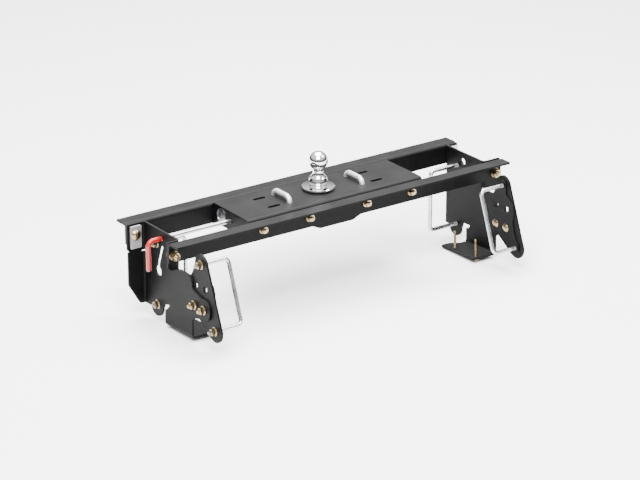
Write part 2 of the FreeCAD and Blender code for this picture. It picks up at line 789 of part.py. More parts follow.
def side_plate(end):
    """One folded side plate, made for the passenger's side, with all its holes."""
    plate = lower_panel(end).fuse(front_flange(end)).fuse(foot()).fuse(upper_channel(end))
    relief_low = TAB_BOTTOM - RELIEF
    relief = [(72, relief_low), (72, TAB_BOTTOM), (100, TAB_BOTTOM), (100, relief_low)]
    plate = plate.cut(prism("YZ", relief, 540, SIDE_OUT + 8))
    rear_relief = [(-80, -94), (-98, relief_low - 1), (-98, TAB_BOTTOM), (-80, TAB_BOTTOM)]
    plate = plate.cut(prism("YZ", rear_relief, 540, SIDE_OUT + 8))
    plate = plate.cut(x_hole(*end["rod_hole"], 23))
    if end["keyhole"]:
        plate = plate.cut(keyhole())
    for y, z in end["front_legs"]:
        plate = plate.cut(x_hole(y, z, UBOLT_D + 1.2))
    for y, z in JOINT_HOLES:
        plate = plate.cut(x_hole(y, z, 13.4))
    for key, side in (("rear_bolt", -1), ("front_bolt", 1)):
        x, z = end[key]
        plate = plate.cut(y_hole(x, z, 16.6).common(half_space(side)))
    for y in FOOT_BOLTS:
        low = Vector(FOOT_BOLT_X, y, FOOT_BOTTOM - 10)
        plate = plate.cut(tilt(rod(Z_AXIS, 4.4, low, low + Z_AXIS * 30)))
    return plate.removeSplitter()


def bolt_on_plate(outline, radii, inner, outer):
    """A flat plate with a lobe round each leg of the tilted U-bolt, and its holes."""
    plate = prism("YZ", outline, inner, outer)
    for (y, z), radius in zip(REAR_LEGS, radii):
        plate = plate.fuse(rod(X_AXIS, radius, Vector(inner, y, z), Vector(outer, y, z)))
    for y, z in REAR_LEGS:
        plate = plate.cut(x_hole(y, z, UBOLT_D + 1.2))
    for y, z in JOINT_HOLES:
        plate = plate.cut(square_hole(y, z, 13.4))
    for y, z in SPARE_HOLES:
        plate = plate.cut(square_hole(y, z, SPARE_WIDTH))
    return plate.removeSplitter()


def frame_plate():
    """The flat plate inboard of the side plate that carries the tilted U-bolt."""
    (upper_y, upper_z), (lower_y, lower_z) = REAR_LEGS
    outline = [
        (upper_y, upper_z),
        (-171, -47),
        (-158, -80, 15),
        (-147, -95, 15),
        (-148, -207, 14),
        (-186, -215, 14),
        (-248, -257),
        (lower_y, lower_z),
        (-301.4, -217.5),
        (-230.9, -34.6),
    ]
    return bolt_on_plate(outline, (31.0, 34.0), FRAME_IN, SIDE_IN)


def packing_plate():
    """The narrower plate between the frame plate and the truck's frame, waisted at the U-bolt."""
    (upper_y, upper_z), (lower_y, lower_z) = REAR_LEGS
    outline = [
        (upper_y, upper_z),
        (upper_y + 14, upper_z - 10),
        (-172, -85, 15),
        (-152, -102, 15),
        (-152, -203, 14),
        (-188, -212, 14),
        (-252, -246),
        (lower_y, lower_z),
        (-285.5, -222),
        (-276, -207, 20),
        (-263, -184, 30),
        (-254, -148, 25),
        (-262.5, -122, 12),
        (-254.5, -98, 8),
        (-236, -84, 16),
        (-220, -73, 14),
        (-218.5, -46),
    ]
    return bolt_on_plate(outline, (16.5, 17.0), PACKING_IN, FRAME_IN)


for name, end in ENDS:
    save(name + "_side_plate", on_side(side_plate(end), end))
    save(name + "_frame_plate", on_side(frame_plate(), end))
    save(name + "_packing_plate", on_side(packing_plate(), end))

# U-bolts and their nuts ----------------------------------------------------------------------


def u_bolt(legs, base, tip):
    """A square-bottomed U-bolt with both legs outwards along X."""
    (y1, z1), (y2, z2) = legs
    corners = [
        Vector(tip, y1, z1),
        Vector(base, y1, z1),
        Vector(base, y2, z2),
        Vector(tip, y2, z2),
    ]
    return bent_bar(corners, UBOLT_BEND, UBOLT_D / 2)


u_bolt_nuts = []
for name, end in ENDS:
    front = u_bolt(end["front_legs"], end["front_base"], end["front_end"])
    rear = u_bolt(REAR_LEGS, REAR_BASE, end["rear_end"])
    save(name + "_front_u_bolt", on_side(front, end))
    save(name + "_rear_u_bolt", on_side(rear, end))
    for legs, face in ((end["front_legs"], SIDE_OUT), (REAR_LEGS, SIDE_IN)):
        for y, z in legs:
            nut = flange_nut(X_AXIS, 19.0, 27.0, UBOLT_D, Vector(face, y, z), 12.5)
            u_bolt_nuts.append(on_side(nut, end))
save("u_bolt_nuts", u_bolt_nuts)

# Other fasteners -----------------------------------------------------------------------------

BLOCK = 8.0
END_BOLT_D = 15.88
END_WASHER = 3.0
END_NUT = 13.0


def head_bolts():
    """Eight bolts through the head's walls and the rails' webs, and what is on them."""
    bolts = []
    washers = []
    nuts = []
    for side in (-1, 1):
        axis = Y_AXIS * side
        for x in HEAD_BOLT_X:
            inner = Vector(x, side * HEAD_WALL, HEAD_BOLT_Z)
            outer = Vector(x, side * WEB_BACK, HEAD_BOLT_Z)
            bolts.append(hex_bolt(axis, HEAD_BOLT_D, 19, 8, inner, 33))
            washers.append(ring(axis, 13.5, HEAD_BOLT_D / 2 + 0.3, outer, outer + axis * 2.4))
            nuts.append(hex_nut(axis, 19, HEAD_BOLT_D, outer + axis * 2.4, 11))
    return bolts, washers, nuts


bolts, washers, nuts = head_bolts()
save("head_bolts", bolts)
save("head_bolt_washers", washers)
save("head_bolt_nuts", nuts)


def block_washer(x, z, width):
    """The heavy rectangular washer under a carriage bolt's head, with a square hole."""
    half = width / 2
    corners = [(x - half, -10, 1.5), (x + half, -10, 1.5), (x + half, -79, 1.5), (x - half, -79, 1.5)]
    block = prism("XZ", corners, HEAD_WALL - BLOCK, HEAD_WALL)
    start = Vector(x, HEAD_WALL - BLOCK - 1, z)
    return block.cut(square_prism(Y_AXIS, END_BOLT_D + 0.5, start, BLOCK + 2))


carriage_bolts = []
hex_bolts = []
end_washers = []
end_nuts = []
block_washers = []
for name, end in ENDS:
    x, z = end["front_bolt"]
    block_washers.append(on_side(block_washer(x, z, end["block_width"]), end))
    head = min(32.0, end["block_width"] - 1)
    seat = Vector(x, HEAD_WALL - BLOCK, z)
    bolt = carriage_bolt(Y_AXIS, END_BOLT_D, head, 8, seat, 42, 7)
    carriage_bolts.append(on_side(bolt, end))
    nut = hex_nut(Y_AXIS, 24, END_BOLT_D, Vector(x, WEB_BACK, z), END_NUT)
    end_nuts.append(on_side(nut, end))
    x, z = end["rear_bolt"]
    outward = Y_AXIS * -1
    inner = Vector(x, -HEAD_WALL, z)
    outer = Vector(x, -WEB_BACK, z)
    length = 2 * SHEET + END_WASHER + END_NUT + 10
    bolt = hex_bolt(outward, END_BOLT_D, 24, 10, inner, length)
    hex_bolts.append(on_side(bolt, end))
    washer = ring(outward, 15, 8.3, outer, outer + outward * END_WASHER)
    end_washers.append(on_side(washer, end))
    nut = hex_nut(outward, 24, END_BOLT_D, outer + outward * END_WASHER, END_NUT)
    end_nuts.append(on_side(nut, end))
save("rail_end_hex_bolts", hex_bolts)
save("rail_end_washers", end_washers)
save("block_washers", block_washers)
save("rail_end_carriage_bolts", carriage_bolts)
save("rail_end_nuts", end_nuts)

joint_bolts = []
joint_nuts = []
for y, z in JOINT_HOLES:
    inner = Vector(PACKING_IN, y, z)
    joint_bolts.append(carriage_bolt(X_AXIS, HEAD_BOLT_D, 27, 6.5, inner, 37, 5))
    joint_nuts.append(flange_nut(X_AXIS, 19.0, 27.0, HEAD_BOLT_D, Vector(SIDE_OUT, y, z), 12.5))
save("joint_bolts", both_sides(joint_bolts))
save("joint_nuts", both_sides(joint_nuts))

foot_bolts = []
for y in FOOT_BOLTS:
    under = Vector(FOOT_BOLT_X, y, FOOT_BOTTOM)
    foot_bolts.append(tilt(hex_bolt(Z_AXIS, 8.0, 13, 5.5, under, SHEET + FOOT_BOLT_TOP)))
save("foot_bolts", both_sides(foot_bolts))
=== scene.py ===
import math

import bmesh
import bpy
from mathutils import Matrix, Vector


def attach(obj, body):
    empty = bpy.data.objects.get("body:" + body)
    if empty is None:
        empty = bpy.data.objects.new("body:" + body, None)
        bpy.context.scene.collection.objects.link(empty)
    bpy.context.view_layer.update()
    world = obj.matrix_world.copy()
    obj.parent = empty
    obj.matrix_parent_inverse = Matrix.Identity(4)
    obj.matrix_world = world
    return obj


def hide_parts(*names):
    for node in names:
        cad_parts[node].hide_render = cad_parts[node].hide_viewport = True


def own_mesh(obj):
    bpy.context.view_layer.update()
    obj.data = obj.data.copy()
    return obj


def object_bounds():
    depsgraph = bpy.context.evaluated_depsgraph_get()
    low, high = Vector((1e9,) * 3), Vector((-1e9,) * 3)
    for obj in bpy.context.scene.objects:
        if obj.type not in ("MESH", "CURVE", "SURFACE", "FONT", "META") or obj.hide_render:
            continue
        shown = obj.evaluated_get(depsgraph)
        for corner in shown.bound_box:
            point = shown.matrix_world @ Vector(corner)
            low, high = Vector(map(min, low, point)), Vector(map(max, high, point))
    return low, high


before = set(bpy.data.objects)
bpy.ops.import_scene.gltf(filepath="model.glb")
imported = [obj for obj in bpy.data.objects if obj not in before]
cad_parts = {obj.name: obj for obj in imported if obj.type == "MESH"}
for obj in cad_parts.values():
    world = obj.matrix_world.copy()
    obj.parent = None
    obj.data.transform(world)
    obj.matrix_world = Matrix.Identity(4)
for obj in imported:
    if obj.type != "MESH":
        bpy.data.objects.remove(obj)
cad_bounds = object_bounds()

# Camera -----------------------------------------------------------------------------------
# A long lens, high on the rear left: it looks along the rails towards the front right, so
# that the ball, the red handle and the inner sides of both brackets are seen.
CAMERA_PLACE = Vector((-4.8053, -6.7406, 3.1473))
CAMERA_AIM = Vector((-0.0267, -0.0464, -0.1428))

camera = bpy.data.objects.new("camera", bpy.data.cameras.new("camera"))
camera.data.lens = 166.45
camera.data.sensor_width = 36.0
camera.data.clip_end = 40.0
camera.location = CAMERA_PLACE
camera.rotation_euler = (CAMERA_AIM - CAMERA_PLACE).to_track_quat("-Z", "Y").to_euler()
bpy.context.scene.collection.objects.link(camera)
bpy.context.scene.camera = camera

# Floor and light --------------------------------------------------------------------------
# A pale floor just under the lowest bolt heads, and a sky that is dark at the horizon and
# pale overhead. Two large soft lamps light the top and the near side, and a small weak one
# puts an edge on the round bars.


def new_material(name):
    """A node material with object coordinates ready, and its shader."""
    material = bpy.data.materials.new(name)
    material.use_nodes = True
    nodes = material.node_tree.nodes
    shader = nodes["Principled BSDF"]
    place = nodes.new("ShaderNodeTexCoord").outputs["Object"]
    return material, nodes, material.node_tree.links, shader, place


def add_noise(nodes, links, place, scale, detail=3.0):
    noise = nodes.new("ShaderNodeTexNoise")
    noise.inputs["Scale"].default_value = scale
    noise.inputs["Detail"].default_value = detail
    links.new(place, noise.inputs["Vector"])
    return noise.outputs["Fac"]


def add_ramp(nodes, links, mask, low, high, start=0.3, stop=0.7):
    """Two colours spread over part of a mask's range."""
    ramp = nodes.new("ShaderNodeValToRGB")
    ramp.color_ramp.elements[0].position = start
    ramp.color_ramp.elements[1].position = stop
    ramp.color_ramp.elements[0].color = (*low, 1.0)
    ramp.color_ramp.elements[1].color = (*high, 1.0)
    links.new(mask, ramp.inputs["Fac"])
    return ramp.outputs["Color"]


def add_range(nodes, links, mask, low, high):
    """A mask turned into a value between low and high."""
    spread = nodes.new("ShaderNodeMapRange")
    spread.inputs["To Min"].default_value = low
    spread.inputs["To Max"].default_value = high
    links.new(mask, spread.inputs["Value"])
    return spread.outputs["Result"]


floor_material, nodes, links, shader, place = new_material("floor")
cloud = add_noise(nodes, links, place, 1.2)
pale = add_ramp(nodes, links, cloud, (0.94, 0.94, 0.94), (0.96, 0.96, 0.96))
links.new(pale, shader.inputs["Base Color"])
shader.inputs["Roughness"].default_value = 0.9
shader.inputs["Specular IOR Level"].default_value = 0.1
floor_mesh = bpy.data.meshes.new("floor")
bm = bmesh.new()
bmesh.ops.create_grid(bm, x_segments=1, y_segments=1, size=30.0)
bmesh.ops.translate(bm, vec=(0, 0, cad_bounds[0][2] - 0.0005), verts=bm.verts)
bm.to_mesh(floor_mesh)
bm.free()
floor_mesh.materials.append(floor_material)
floor = bpy.data.objects.new("floor", floor_mesh)
bpy.context.scene.collection.objects.link(floor)

sky = bpy.data.worlds.new("sky")
sky.use_nodes = True
nodes = sky.node_tree.nodes
links = sky.node_tree.links
height = nodes.new("ShaderNodeSeparateXYZ")
links.new(nodes.new("ShaderNodeTexCoord").outputs["Generated"], height.inputs["Vector"])
glow = add_ramp(nodes, links, height.outputs["Z"], (0.03, 0.03, 0.032), (1.0, 1.0, 1.0), 0.16, 0.50)
links.new(glow, nodes["Background"].inputs["Color"])
nodes["Background"].inputs["Strength"].default_value = 1.3
bpy.context.scene.world = sky

for name, spot, size, power in (
    ("key_lamp", (-2.0, -2.5, 4.0), 3.0, 850.0),
    ("top_lamp", (0.6, 1.0, 4.5), 4.0, 950.0),
    ("rim_lamp", (2.2, -1.6, 3.0), 1.0, 90.0),
):
    lamp = bpy.data.objects.new(name, bpy.data.lights.new(name, "AREA"))
    lamp.data.size = size
    lamp.data.energy = power
    lamp.location = spot
    aim = Vector((0, 0, -0.1)) - Vector(spot)
    lamp.rotation_euler = aim.to_track_quat("-Z", "Y").to_euler()
    bpy.context.scene.collection.objects.link(lamp)

# Black steel: rails, head, plates and the parts welded inside the head ----------------------
# Folded and laser-cut plate, washed and powder coated in one satin black, which leaves a
# fine orange peel and slightly uneven gloss. Upward faces carry painted top light: a paler
# colour than the sides, standing in for light from above.


def new_group(name, inputs, outputs):
    """A shader node group with its sockets, and its two end nodes."""
    tree = bpy.data.node_groups.new(name, "ShaderNodeTree")
    for label, kind, value in inputs:
        socket = tree.interface.new_socket(label, in_out="INPUT", socket_type=kind)
        if value is not None:
            socket.default_value = value
    for label, kind in outputs:
        tree.interface.new_socket(label, in_out="OUTPUT", socket_type=kind)
    start = tree.nodes.new("NodeGroupInput")
    end = tree.nodes.new("NodeGroupOutput")
    return tree, start.outputs, end.inputs


def scaled(tree, value, factor):
    product = tree.nodes.new("ShaderNodeMath")
    product.operation = "MULTIPLY"
    tree.links.new(value, product.inputs[0])
    product.inputs[1].default_value = factor
    return product.outputs[0]


def noise_in(tree, place, scale, detail):
    noise = tree.nodes.new("ShaderNodeTexNoise")
    noise.inputs["Detail"].default_value = detail
    tree.links.new(place, noise.inputs["Vector"])
    tree.links.new(scale, noise.inputs["Scale"])
    return noise.outputs["Fac"]


grain, given, made = new_group(
    "surface_grain",
    [("Vector", "NodeSocketVector", None), ("Scale", "NodeSocketFloat", 600.0)],
    [("Height", "NodeSocketFloat"), ("Patches", "NodeSocketFloat")],
)
grain.links.new(noise_in(grain, given["Vector"], given["Scale"], 2.0), made["Height"])
patches = noise_in(grain, given["Vector"], scaled(grain, given["Scale"], 0.02), 4.0)
grain.links.new(patches, made["Patches"])


def use_group(nodes, links, place, tree, **values):
    group = nodes.new("ShaderNodeGroup")
    group.node_tree = tree
    links.new(place, group.inputs["Vector"])
    for label, value in values.items():
        group.inputs[label].default_value = value
    return group.outputs


def add_bump(nodes, links, shader, height, strength, distance):
    bump = nodes.new("ShaderNodeBump")
    bump.inputs["Strength"].default_value = strength
    bump.inputs["Distance"].default_value = distance
    links.new(height, bump.inputs["Height"])
    links.new(bump.outputs["Normal"], shader.inputs["Normal"])


powder_coat, nodes, links, shader, place = new_material("black_powder_coat")
peel = use_group(nodes, links, place, grain, Scale=520.0)
upward = nodes.new("ShaderNodeSeparateXYZ")
links.new(nodes.new("ShaderNodeTexCoord").outputs["Normal"], upward.inputs["Vector"])
patches = peel["Patches"]
# Painted light: faces that point up get a paler base colour than the sides, as painted top light.
painted_top_tone = add_ramp(nodes, links, patches, (0.013, 0.013, 0.0132), (0.019, 0.019, 0.0192))
side_tone = add_ramp(nodes, links, patches, (0.0012, 0.0012, 0.0013), (0.0028, 0.0028, 0.003))
top_light_mask = add_ramp(nodes, links, upward.outputs["Z"], (0, 0, 0), (1, 1, 1), 0.35, 0.95)
painted_top_light = nodes.new("ShaderNodeMix")
painted_top_light.data_type = "RGBA"
links.new(top_light_mask, painted_top_light.inputs["Factor"])
links.new(side_tone, painted_top_light.inputs["A"])
links.new(painted_top_tone, painted_top_light.inputs["B"])
links.new(painted_top_light.outputs["Result"], shader.inputs["Base Color"])
links.new(add_range(nodes, links, patches, 0.40, 0.58), shader.inputs["Roughness"])
shader.inputs["Specular IOR Level"].default_value = 0.08
add_bump(nodes, links, shader, peel["Height"], 0.35, 0.00012)


def paint(material, *names):
    """Give CAD nodes a material."""
    for name in names:
        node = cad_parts[name]
        node.data.materials.clear()
        node.data.materials.append(material)


SIDES = ("driver", "passenger")
paint(powder_coat, "front_rail", "rear_rail", "head_channel", "ball_socket", "socket_gussets")
paint(powder_coat, "cross_ribs", "lock_guide_block", "lock_spring_seat")
for side in SIDES:
    paint(powder_coat, side + "_side_plate", side + "_frame_plate", side + "_packing_plate")
    paint(powder_coat, side + "_end_plate")

# Welds under the head -----------------------------------------------------------------------
# Short runs of ripple-marked weld join the end plates, the socket and the ribs to the folded
# channel. They were made before coating, so they carry the same black.
MM = 0.001
SHEET = 6.35 * MM
HEAD_WALL = 89.15 * MM
HEAD_UNDER = -SHEET
END_PLATE_FACE = 317.5 * MM - SHEET
RIB_FACE = 226.825 * MM
RIPPLE = 2.4 * MM


def new_piece(bm, name, material, body, stands_for=(), sharp=40.0):
    """Turn a bmesh into a finished piece that rides on a body."""
    bmesh.ops.remove_doubles(bm, verts=bm.verts, dist=1e-6)
    bmesh.ops.recalc_face_normals(bm, faces=bm.faces)
    mesh = bpy.data.meshes.new(name)
    bm.to_mesh(mesh)
    bm.free()
    for face in mesh.polygons:
        face.use_smooth = True
    mesh.set_sharp_from_angle(angle=math.radians(sharp))
    mesh.materials.append(material)
    piece = bpy.data.objects.new(name, mesh)
    bpy.context.scene.collection.objects.link(piece)
    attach(piece, body)
    if stands_for:
        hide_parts(*stands_for)
    return piece


def facing(point, direction):
    """Where a shape made along Z at the origin goes to point along a direction."""
    turn = Vector(direction).to_track_quat("Z", "Y").to_matrix().to_4x4()
    return Matrix.Translation(Vector(point)) @ turn


def start_ring(bm, matrix, radius, segments):
    ring = bmesh.ops.create_circle(
        bm, cap_ends=True, radius=radius, segments=segments, matrix=matrix
    )
    return list({edge for vert in ring["verts"] for edge in vert.link_edges})


def extend(bm, edges):
    """Extrude a loop of edges, and give back the new edges and their vertices."""
    made = bmesh.ops.extrude_edge_only(bm, edges=edges)["geom"]
    verts = [g for g in made if isinstance(g, bmesh.types.BMVert)]
    edges = [g for g in made if isinstance(g, bmesh.types.BMEdge)]
    loop = [edge for edge in edges if all(vert in verts for vert in edge.verts)]
    return loop, verts


def weld_line(bm, start, end, radius):
    """A straight run of weld with even ripples."""
    start = Vector(start)
    run = Vector(end) - start
    steps = max(4, 2 * round(run.length / RIPPLE))
    loop = start_ring(bm, facing(start, run), radius, 8)
    middle = start
    for i in range(steps):
        loop, verts = extend(bm, loop)
        bmesh.ops.translate(bm, vec=run / steps, verts=verts)
        middle = middle + run / steps
        size = 1.14 if i % 2 == 0 else 1 / 1.14
        for vert in verts:
            vert.co = middle + (vert.co - middle) * size
    bmesh.ops.edgeloop_fill(bm, edges=loop)


def weld_circle(bm, centre, around, radius):
    """A full circle of weld about Z with the same ripple."""
    ripples = round(2 * math.pi * around / RIPPLE)
    place = Vector(centre) + Vector((around, 0, 0))
    start = facing(place, (0, 1, 0))
    ring = bmesh.ops.create_circle(bm, radius=radius, segments=8, matrix=start)
    edges = list({edge for vert in ring["verts"] for edge in vert.link_edges})
    bmesh.ops.spin(
        bm, geom=ring["verts"] + edges, cent=centre, axis=(0, 0, 1), angle=2 * math.pi,
        steps=ripples * 2, use_merge=True,
    )
    for vert in bm.verts:
        flat = Vector((vert.co.x - centre[0], vert.co.y - centre[1], 0))
        turn = math.atan2(flat.y, flat.x) / (2 * math.pi) * ripples
        core = Vector(centre) + flat.normalized() * around
        vert.co = core + (vert.co - core) * (1 + 0.12 * math.cos(turn * 2 * math.pi))


WELD = 3 * MM
WELD_MIDDLE = HEAD_UNDER - 1 * MM
SOCKET_RADIUS = 48.5 * MM
SOCKET_WELD = 3.5 * MM
bm = bmesh.new()
weld_circle(bm, (0, 0, WELD_MIDDLE), SOCKET_RADIUS, SOCKET_WELD)
new_piece(bm, "socket_weld", powder_coat, "frame", sharp=60.0)

bm = bmesh.new()
for side in (-1, 1):
    for x, bottom in ((side * END_PLATE_FACE, -52 * MM), (side * RIB_FACE, -50 * MM)):
        for y in (-HEAD_WALL, HEAD_WALL):
            inset = math.copysign(1.0 * MM, y)
            weld_line(bm, (x, y - inset, -14 * MM), (x, y - inset, bottom), WELD)
        weld_line(bm, (x, -78 * MM, WELD_MIDDLE), (x, 78 * MM, WELD_MIDDLE), WELD)
new_piece(bm, "plate_welds", powder_coat, "frame", sharp=60.0)

# Ball ---------------------------------------------------------------------------------------
# A forged and turned ball on a flared neck and a broad collar, chrome plated and polished.
chrome, nodes, links, shader, place = new_material("ball_chrome")
polish = use_group(nodes, links, place, grain, Scale=900.0)
silver = add_ramp(nodes, links, polish["Patches"], (0.80, 0.81, 0.82), (0.88, 0.88, 0.89))
links.new(silver, shader.inputs["Base Color"])
links.new(add_range(nodes, links, polish["Patches"], 0.03, 0.10), shader.inputs["Roughness"])
shader.inputs["Metallic"].default_value = 1.0
add_bump(nodes, links, shader, polish["Height"], 0.05, 0.00004)
paint(chrome, "hitch_ball")

# Plated and bare steel: the rod, plugs, washers, nuts and lock pin -----------------------------
# Bright zinc on the rod, plugs and U-bolts, yellow chromate on the bolts and nuts, and dull
# grey on the washers. The U-bolts' threads are dark with oil. Pins and springs are unplated.
plating, given, made = new_group(
    "plated_metal",
    [("Vector", "NodeSocketVector", None), ("Scale", "NodeSocketFloat", 60.0)],
    [("Clouds", "NodeSocketFloat"), ("Streaks", "NodeSocketFloat"), ("Height", "NodeSocketFloat")],
)
plating.links.new(noise_in(plating, given["Vector"], given["Scale"], 5.0), made["Clouds"])
stretch = plating.nodes.new("ShaderNodeMapping")
stretch.inputs["Scale"].default_value = (0.12, 1.0, 1.0)
plating.links.new(given["Vector"], stretch.inputs["Vector"])
streaks = noise_in(plating, stretch.outputs["Vector"], scaled(plating, given["Scale"], 20.0), 3.0)
plating.links.new(streaks, made["Streaks"])
height = noise_in(plating, given["Vector"], scaled(plating, given["Scale"], 14.0), 2.0)
plating.links.new(height, made["Height"])


def plated(name, scale, low, high, smooth, rough, depth):
    """One plated finish: two tones of metal, a range of roughness, and fine streaks."""
    material, nodes, links, shader, place = new_material(name)
    marks = use_group(nodes, links, place, plating, Scale=scale)
    links.new(add_ramp(nodes, links, marks["Clouds"], low, high), shader.inputs["Base Color"])
    links.new(add_range(nodes, links, marks["Streaks"], smooth, rough), shader.inputs["Roughness"])
    shader.inputs["Metallic"].default_value = 1.0
    add_bump(nodes, links, shader, marks["Height"], 0.3, depth)
    return material


bright_zinc = plated(
    "bright_zinc", 45.0, (0.44, 0.45, 0.47), (0.63, 0.64, 0.66), 0.18, 0.36, 0.00003
)
yellow_zinc = plated(
    "yellow_zinc", 150.0, (0.19, 0.135, 0.07), (0.43, 0.355, 0.22), 0.18, 0.36, 0.00004
)
grey_zinc = plated(
    "grey_zinc", 110.0, (0.50, 0.48, 0.51), (0.66, 0.64, 0.67), 0.42, 0.62, 0.00006
)
oiled_zinc = plated(
    "oiled_zinc", 160.0, (0.12, 0.11, 0.10), (0.30, 0.28, 0.26), 0.25, 0.45, 0.00004
)
bare_steel = plated(
    "bare_steel", 90.0, (0.36, 0.35, 0.34), (0.50, 0.50, 0.50), 0.25, 0.45, 0.00004
)
spring_steel = plated(
    "spring_steel", 90.0, (0.20, 0.20, 0.21), (0.34, 0.34, 0.35), 0.30, 0.50, 0.00004
)

paint(bright_zinc, "release_rod", "access_plugs")
paint(yellow_zinc, "u_bolt_nuts", "head_bolt_washers", "head_bolt_nuts", "rail_end_washers")
paint(yellow_zinc, "rail_end_nuts", "joint_nuts")
paint(grey_zinc, "block_washers", "loop_seat_washers")
paint(bare_steel, "lock_pin", "swivel_pins")
for side in SIDES:
    paint(grey_zinc, side + "_loop_washers")
    paint(yellow_zinc, side + "_loop_nuts")

# Springs ----------------------------------------------------------------------------------------
# Coiled spring wire, blackened and oiled. One coil pushes the lock pin into the ball's shank,
# and one on each leg draws the chain loops down.


def coil(node):
    """A copy of a spring, with a mesh of its own, riding on the frame."""
    bm = bmesh.new()
    bm.from_mesh(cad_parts[node].data)
    piece = new_piece(bm, node + "_coil", spring_steel, "frame", [node])
    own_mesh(piece)


coil("lock_spring")
for side in SIDES:
    coil(side + "_loop_springs")

# Safety chain loops ---------------------------------------------------------------------------
# Round bar bent to a flat arch and hot-dip galvanised, which leaves a dull grey skin with
# faint crystals.
galvanised, nodes, links, shader, place = new_material("galvanised")
skin = use_group(nodes, links, place, plating, Scale=70.0)
crystals = nodes.new("ShaderNodeTexVoronoi")
crystals.inputs["Scale"].default_value = 170.0
links.new(place, crystals.inputs["Vector"])
spangle = nodes.new("ShaderNodeRGBToBW")
links.new(crystals.outputs["Color"], spangle.inputs["Color"])
frost = add_ramp(
    nodes, links, spangle.outputs["Val"], (0.60, 0.61, 0.61), (0.80, 0.80, 0.80), 0.0, 1.0
)
links.new(frost, shader.inputs["Base Color"])
links.new(add_range(nodes, links, skin["Clouds"], 0.40, 0.62), shader.inputs["Roughness"])
shader.inputs["Metallic"].default_value = 0.85
add_bump(nodes, links, shader, skin["Height"], 0.4, 0.00008)
for side in SIDES:
    paint(galvanised, side + "_chain_loop")

# U-bolts ----------------------------------------------------------------------------------------
# Half-inch round bar bent square at both corners, with a thread rolled on the end of each leg,
# bright zinc plated. They pass round the truck's frame and through the plates.
BAR = 6.35 * MM
BAR_BEND = 15.0 * MM
HALF_INCH_PITCH = 1.95 * MM
ROUND = 28


def sweep(bm, loop, corners, bend, steps=10):
    """Carry a loop along straight runs, with one bend radius at every corner."""
    here = corners[0]
    for i in range(1, len(corners) - 1):
        back = (corners[i - 1] - corners[i]).normalized()
        ahead = (corners[i + 1] - corners[i]).normalized()
        half = back.angle(ahead) / 2
        start = corners[i] + back * (bend / math.tan(half))
        centre = corners[i] + (back + ahead).normalized() * (bend / math.sin(half))
        loop, verts = extend(bm, loop)
        bmesh.ops.translate(bm, vec=start - here, verts=verts)
        spun = bmesh.ops.spin(
            bm, geom=verts + loop, cent=centre, axis=(-back).cross(ahead).normalized(),
            angle=math.pi - 2 * half, steps=steps,
        )["geom_last"]
        loop = [g for g in spun if isinstance(g, bmesh.types.BMEdge)]
        here = corners[i] + ahead * (bend / math.tan(half))
    loop, verts = extend(bm, loop)
    bmesh.ops.translate(bm, vec=corners[-1] - here, verts=verts)
    return loop


def bar_along(bm, corners, bend, radius):
    corners = [Vector(c) for c in corners]
    loop = start_ring(bm, facing(corners[0], corners[1] - corners[0]), radius, ROUND)
    bmesh.ops.edgeloop_fill(bm, edges=sweep(bm, loop, corners, bend))


def add_to(bm, made, matrix):
    """Put a shape made at the origin in its place, and add it to a larger bmesh."""
    bmesh.ops.transform(made, matrix=matrix, verts=made.verts)
    spare = bpy.data.meshes.new("spare")
    made.to_mesh(spare)
    made.free()
    bm.from_mesh(spare)
    bpy.data.meshes.remove(spare)


def threaded_end(bm, start, direction, length, radius, pitch, segments=24):
    """A rolled thread of one start, from a point along a direction, with a chamfered tip."""
    made = bmesh.new()
    root = radius - pitch * 0.6
    teeth = int(length / pitch) + 3
    last = None
    for i in range(2 * teeth):
        reach = radius if i % 2 else root
        vert = made.verts.new((reach, 0, (i / 2 - 1.5) * pitch))
        if last:
            made.edges.new((last, vert))
        last = vert
    bmesh.ops.spin(
        made, geom=made.verts[:] + made.edges[:], cent=(0, 0, 0), axis=(0, 0, 1),
        angle=2 * math.pi, steps=segments, dvec=(0, 0, pitch / segments),
    )
    bmesh.ops.remove_doubles(made, verts=made.verts, dist=1e-6)
    for height, clear in ((0.0, -1), (length, 1)):
        bmesh.ops.bisect_plane(
            made, geom=made.verts[:] + made.edges[:] + made.faces[:], plane_co=(0, 0, height),
            plane_no=(0, 0, clear), clear_outer=True,
        )
    bmesh.ops.holes_fill(made, edges=made.edges, sides=0)
    for vert in made.verts:
        around = math.hypot(vert.co.x, vert.co.y)
        most = root - pitch * 0.2 + (length - vert.co.z)
        if around > most:
            vert.co.x *= most / around
            vert.co.y *= most / around
    add_to(bm, made, facing(start, direction))


# Each row: the bolt, its side, the (Y, Z) of its two legs, and |X| of the bar's far side, of the
# thread's start and of the tips, in mm.
REAR_LEGS = ((-202.0, -46.0), (-270.0, -229.0))
U_BOLTS = (
    ("driver_front_u_bolt", -1, ((22.0, -51.0), (22.0, -243.0)), 463.0, 540.0, 580.0),
    ("driver_rear_u_bolt", -1, REAR_LEGS, 462.0, 534.0, 577.0),
    ("passenger_front_u_bolt", 1, ((33.0, -52.0), (33.0, -247.0)), 450.0, 540.0, 573.0),
    ("passenger_rear_u_bolt", 1, REAR_LEGS, 462.0, 534.0, 568.0),
)
for name, side, legs, base, thread_start, tip in U_BOLTS:
    bm = bmesh.new()
    (y1, z1), (y2, z2) = [(y * MM, z * MM) for y, z in legs]
    reach = side * thread_start * MM
    across = side * base * MM
    corners = [(reach, y1, z1), (across, y1, z1), (across, y2, z2), (reach, y2, z2)]
    bar_along(bm, corners, BAR_BEND, BAR)
    new_piece(bm, name + "_bar", bright_zinc, "frame", [name])
    bm = bmesh.new()
    length = (tip - thread_start) * MM
    for y, z in ((y1, z1), (y2, z2)):
        threaded_end(bm, (reach, y, z), (side, 0, 0), length, BAR, HALF_INCH_PITCH)
    new_piece(bm, name + "_threads", oiled_zinc, "frame", [name])

# Bolts ------------------------------------------------------------------------------------------
# Hex bolts hold the head to the rails, the rails' rear ends to the brackets, and stand up
# through the feet. Carriage bolts join the plates. All are yellow zinc, with rolled threads.


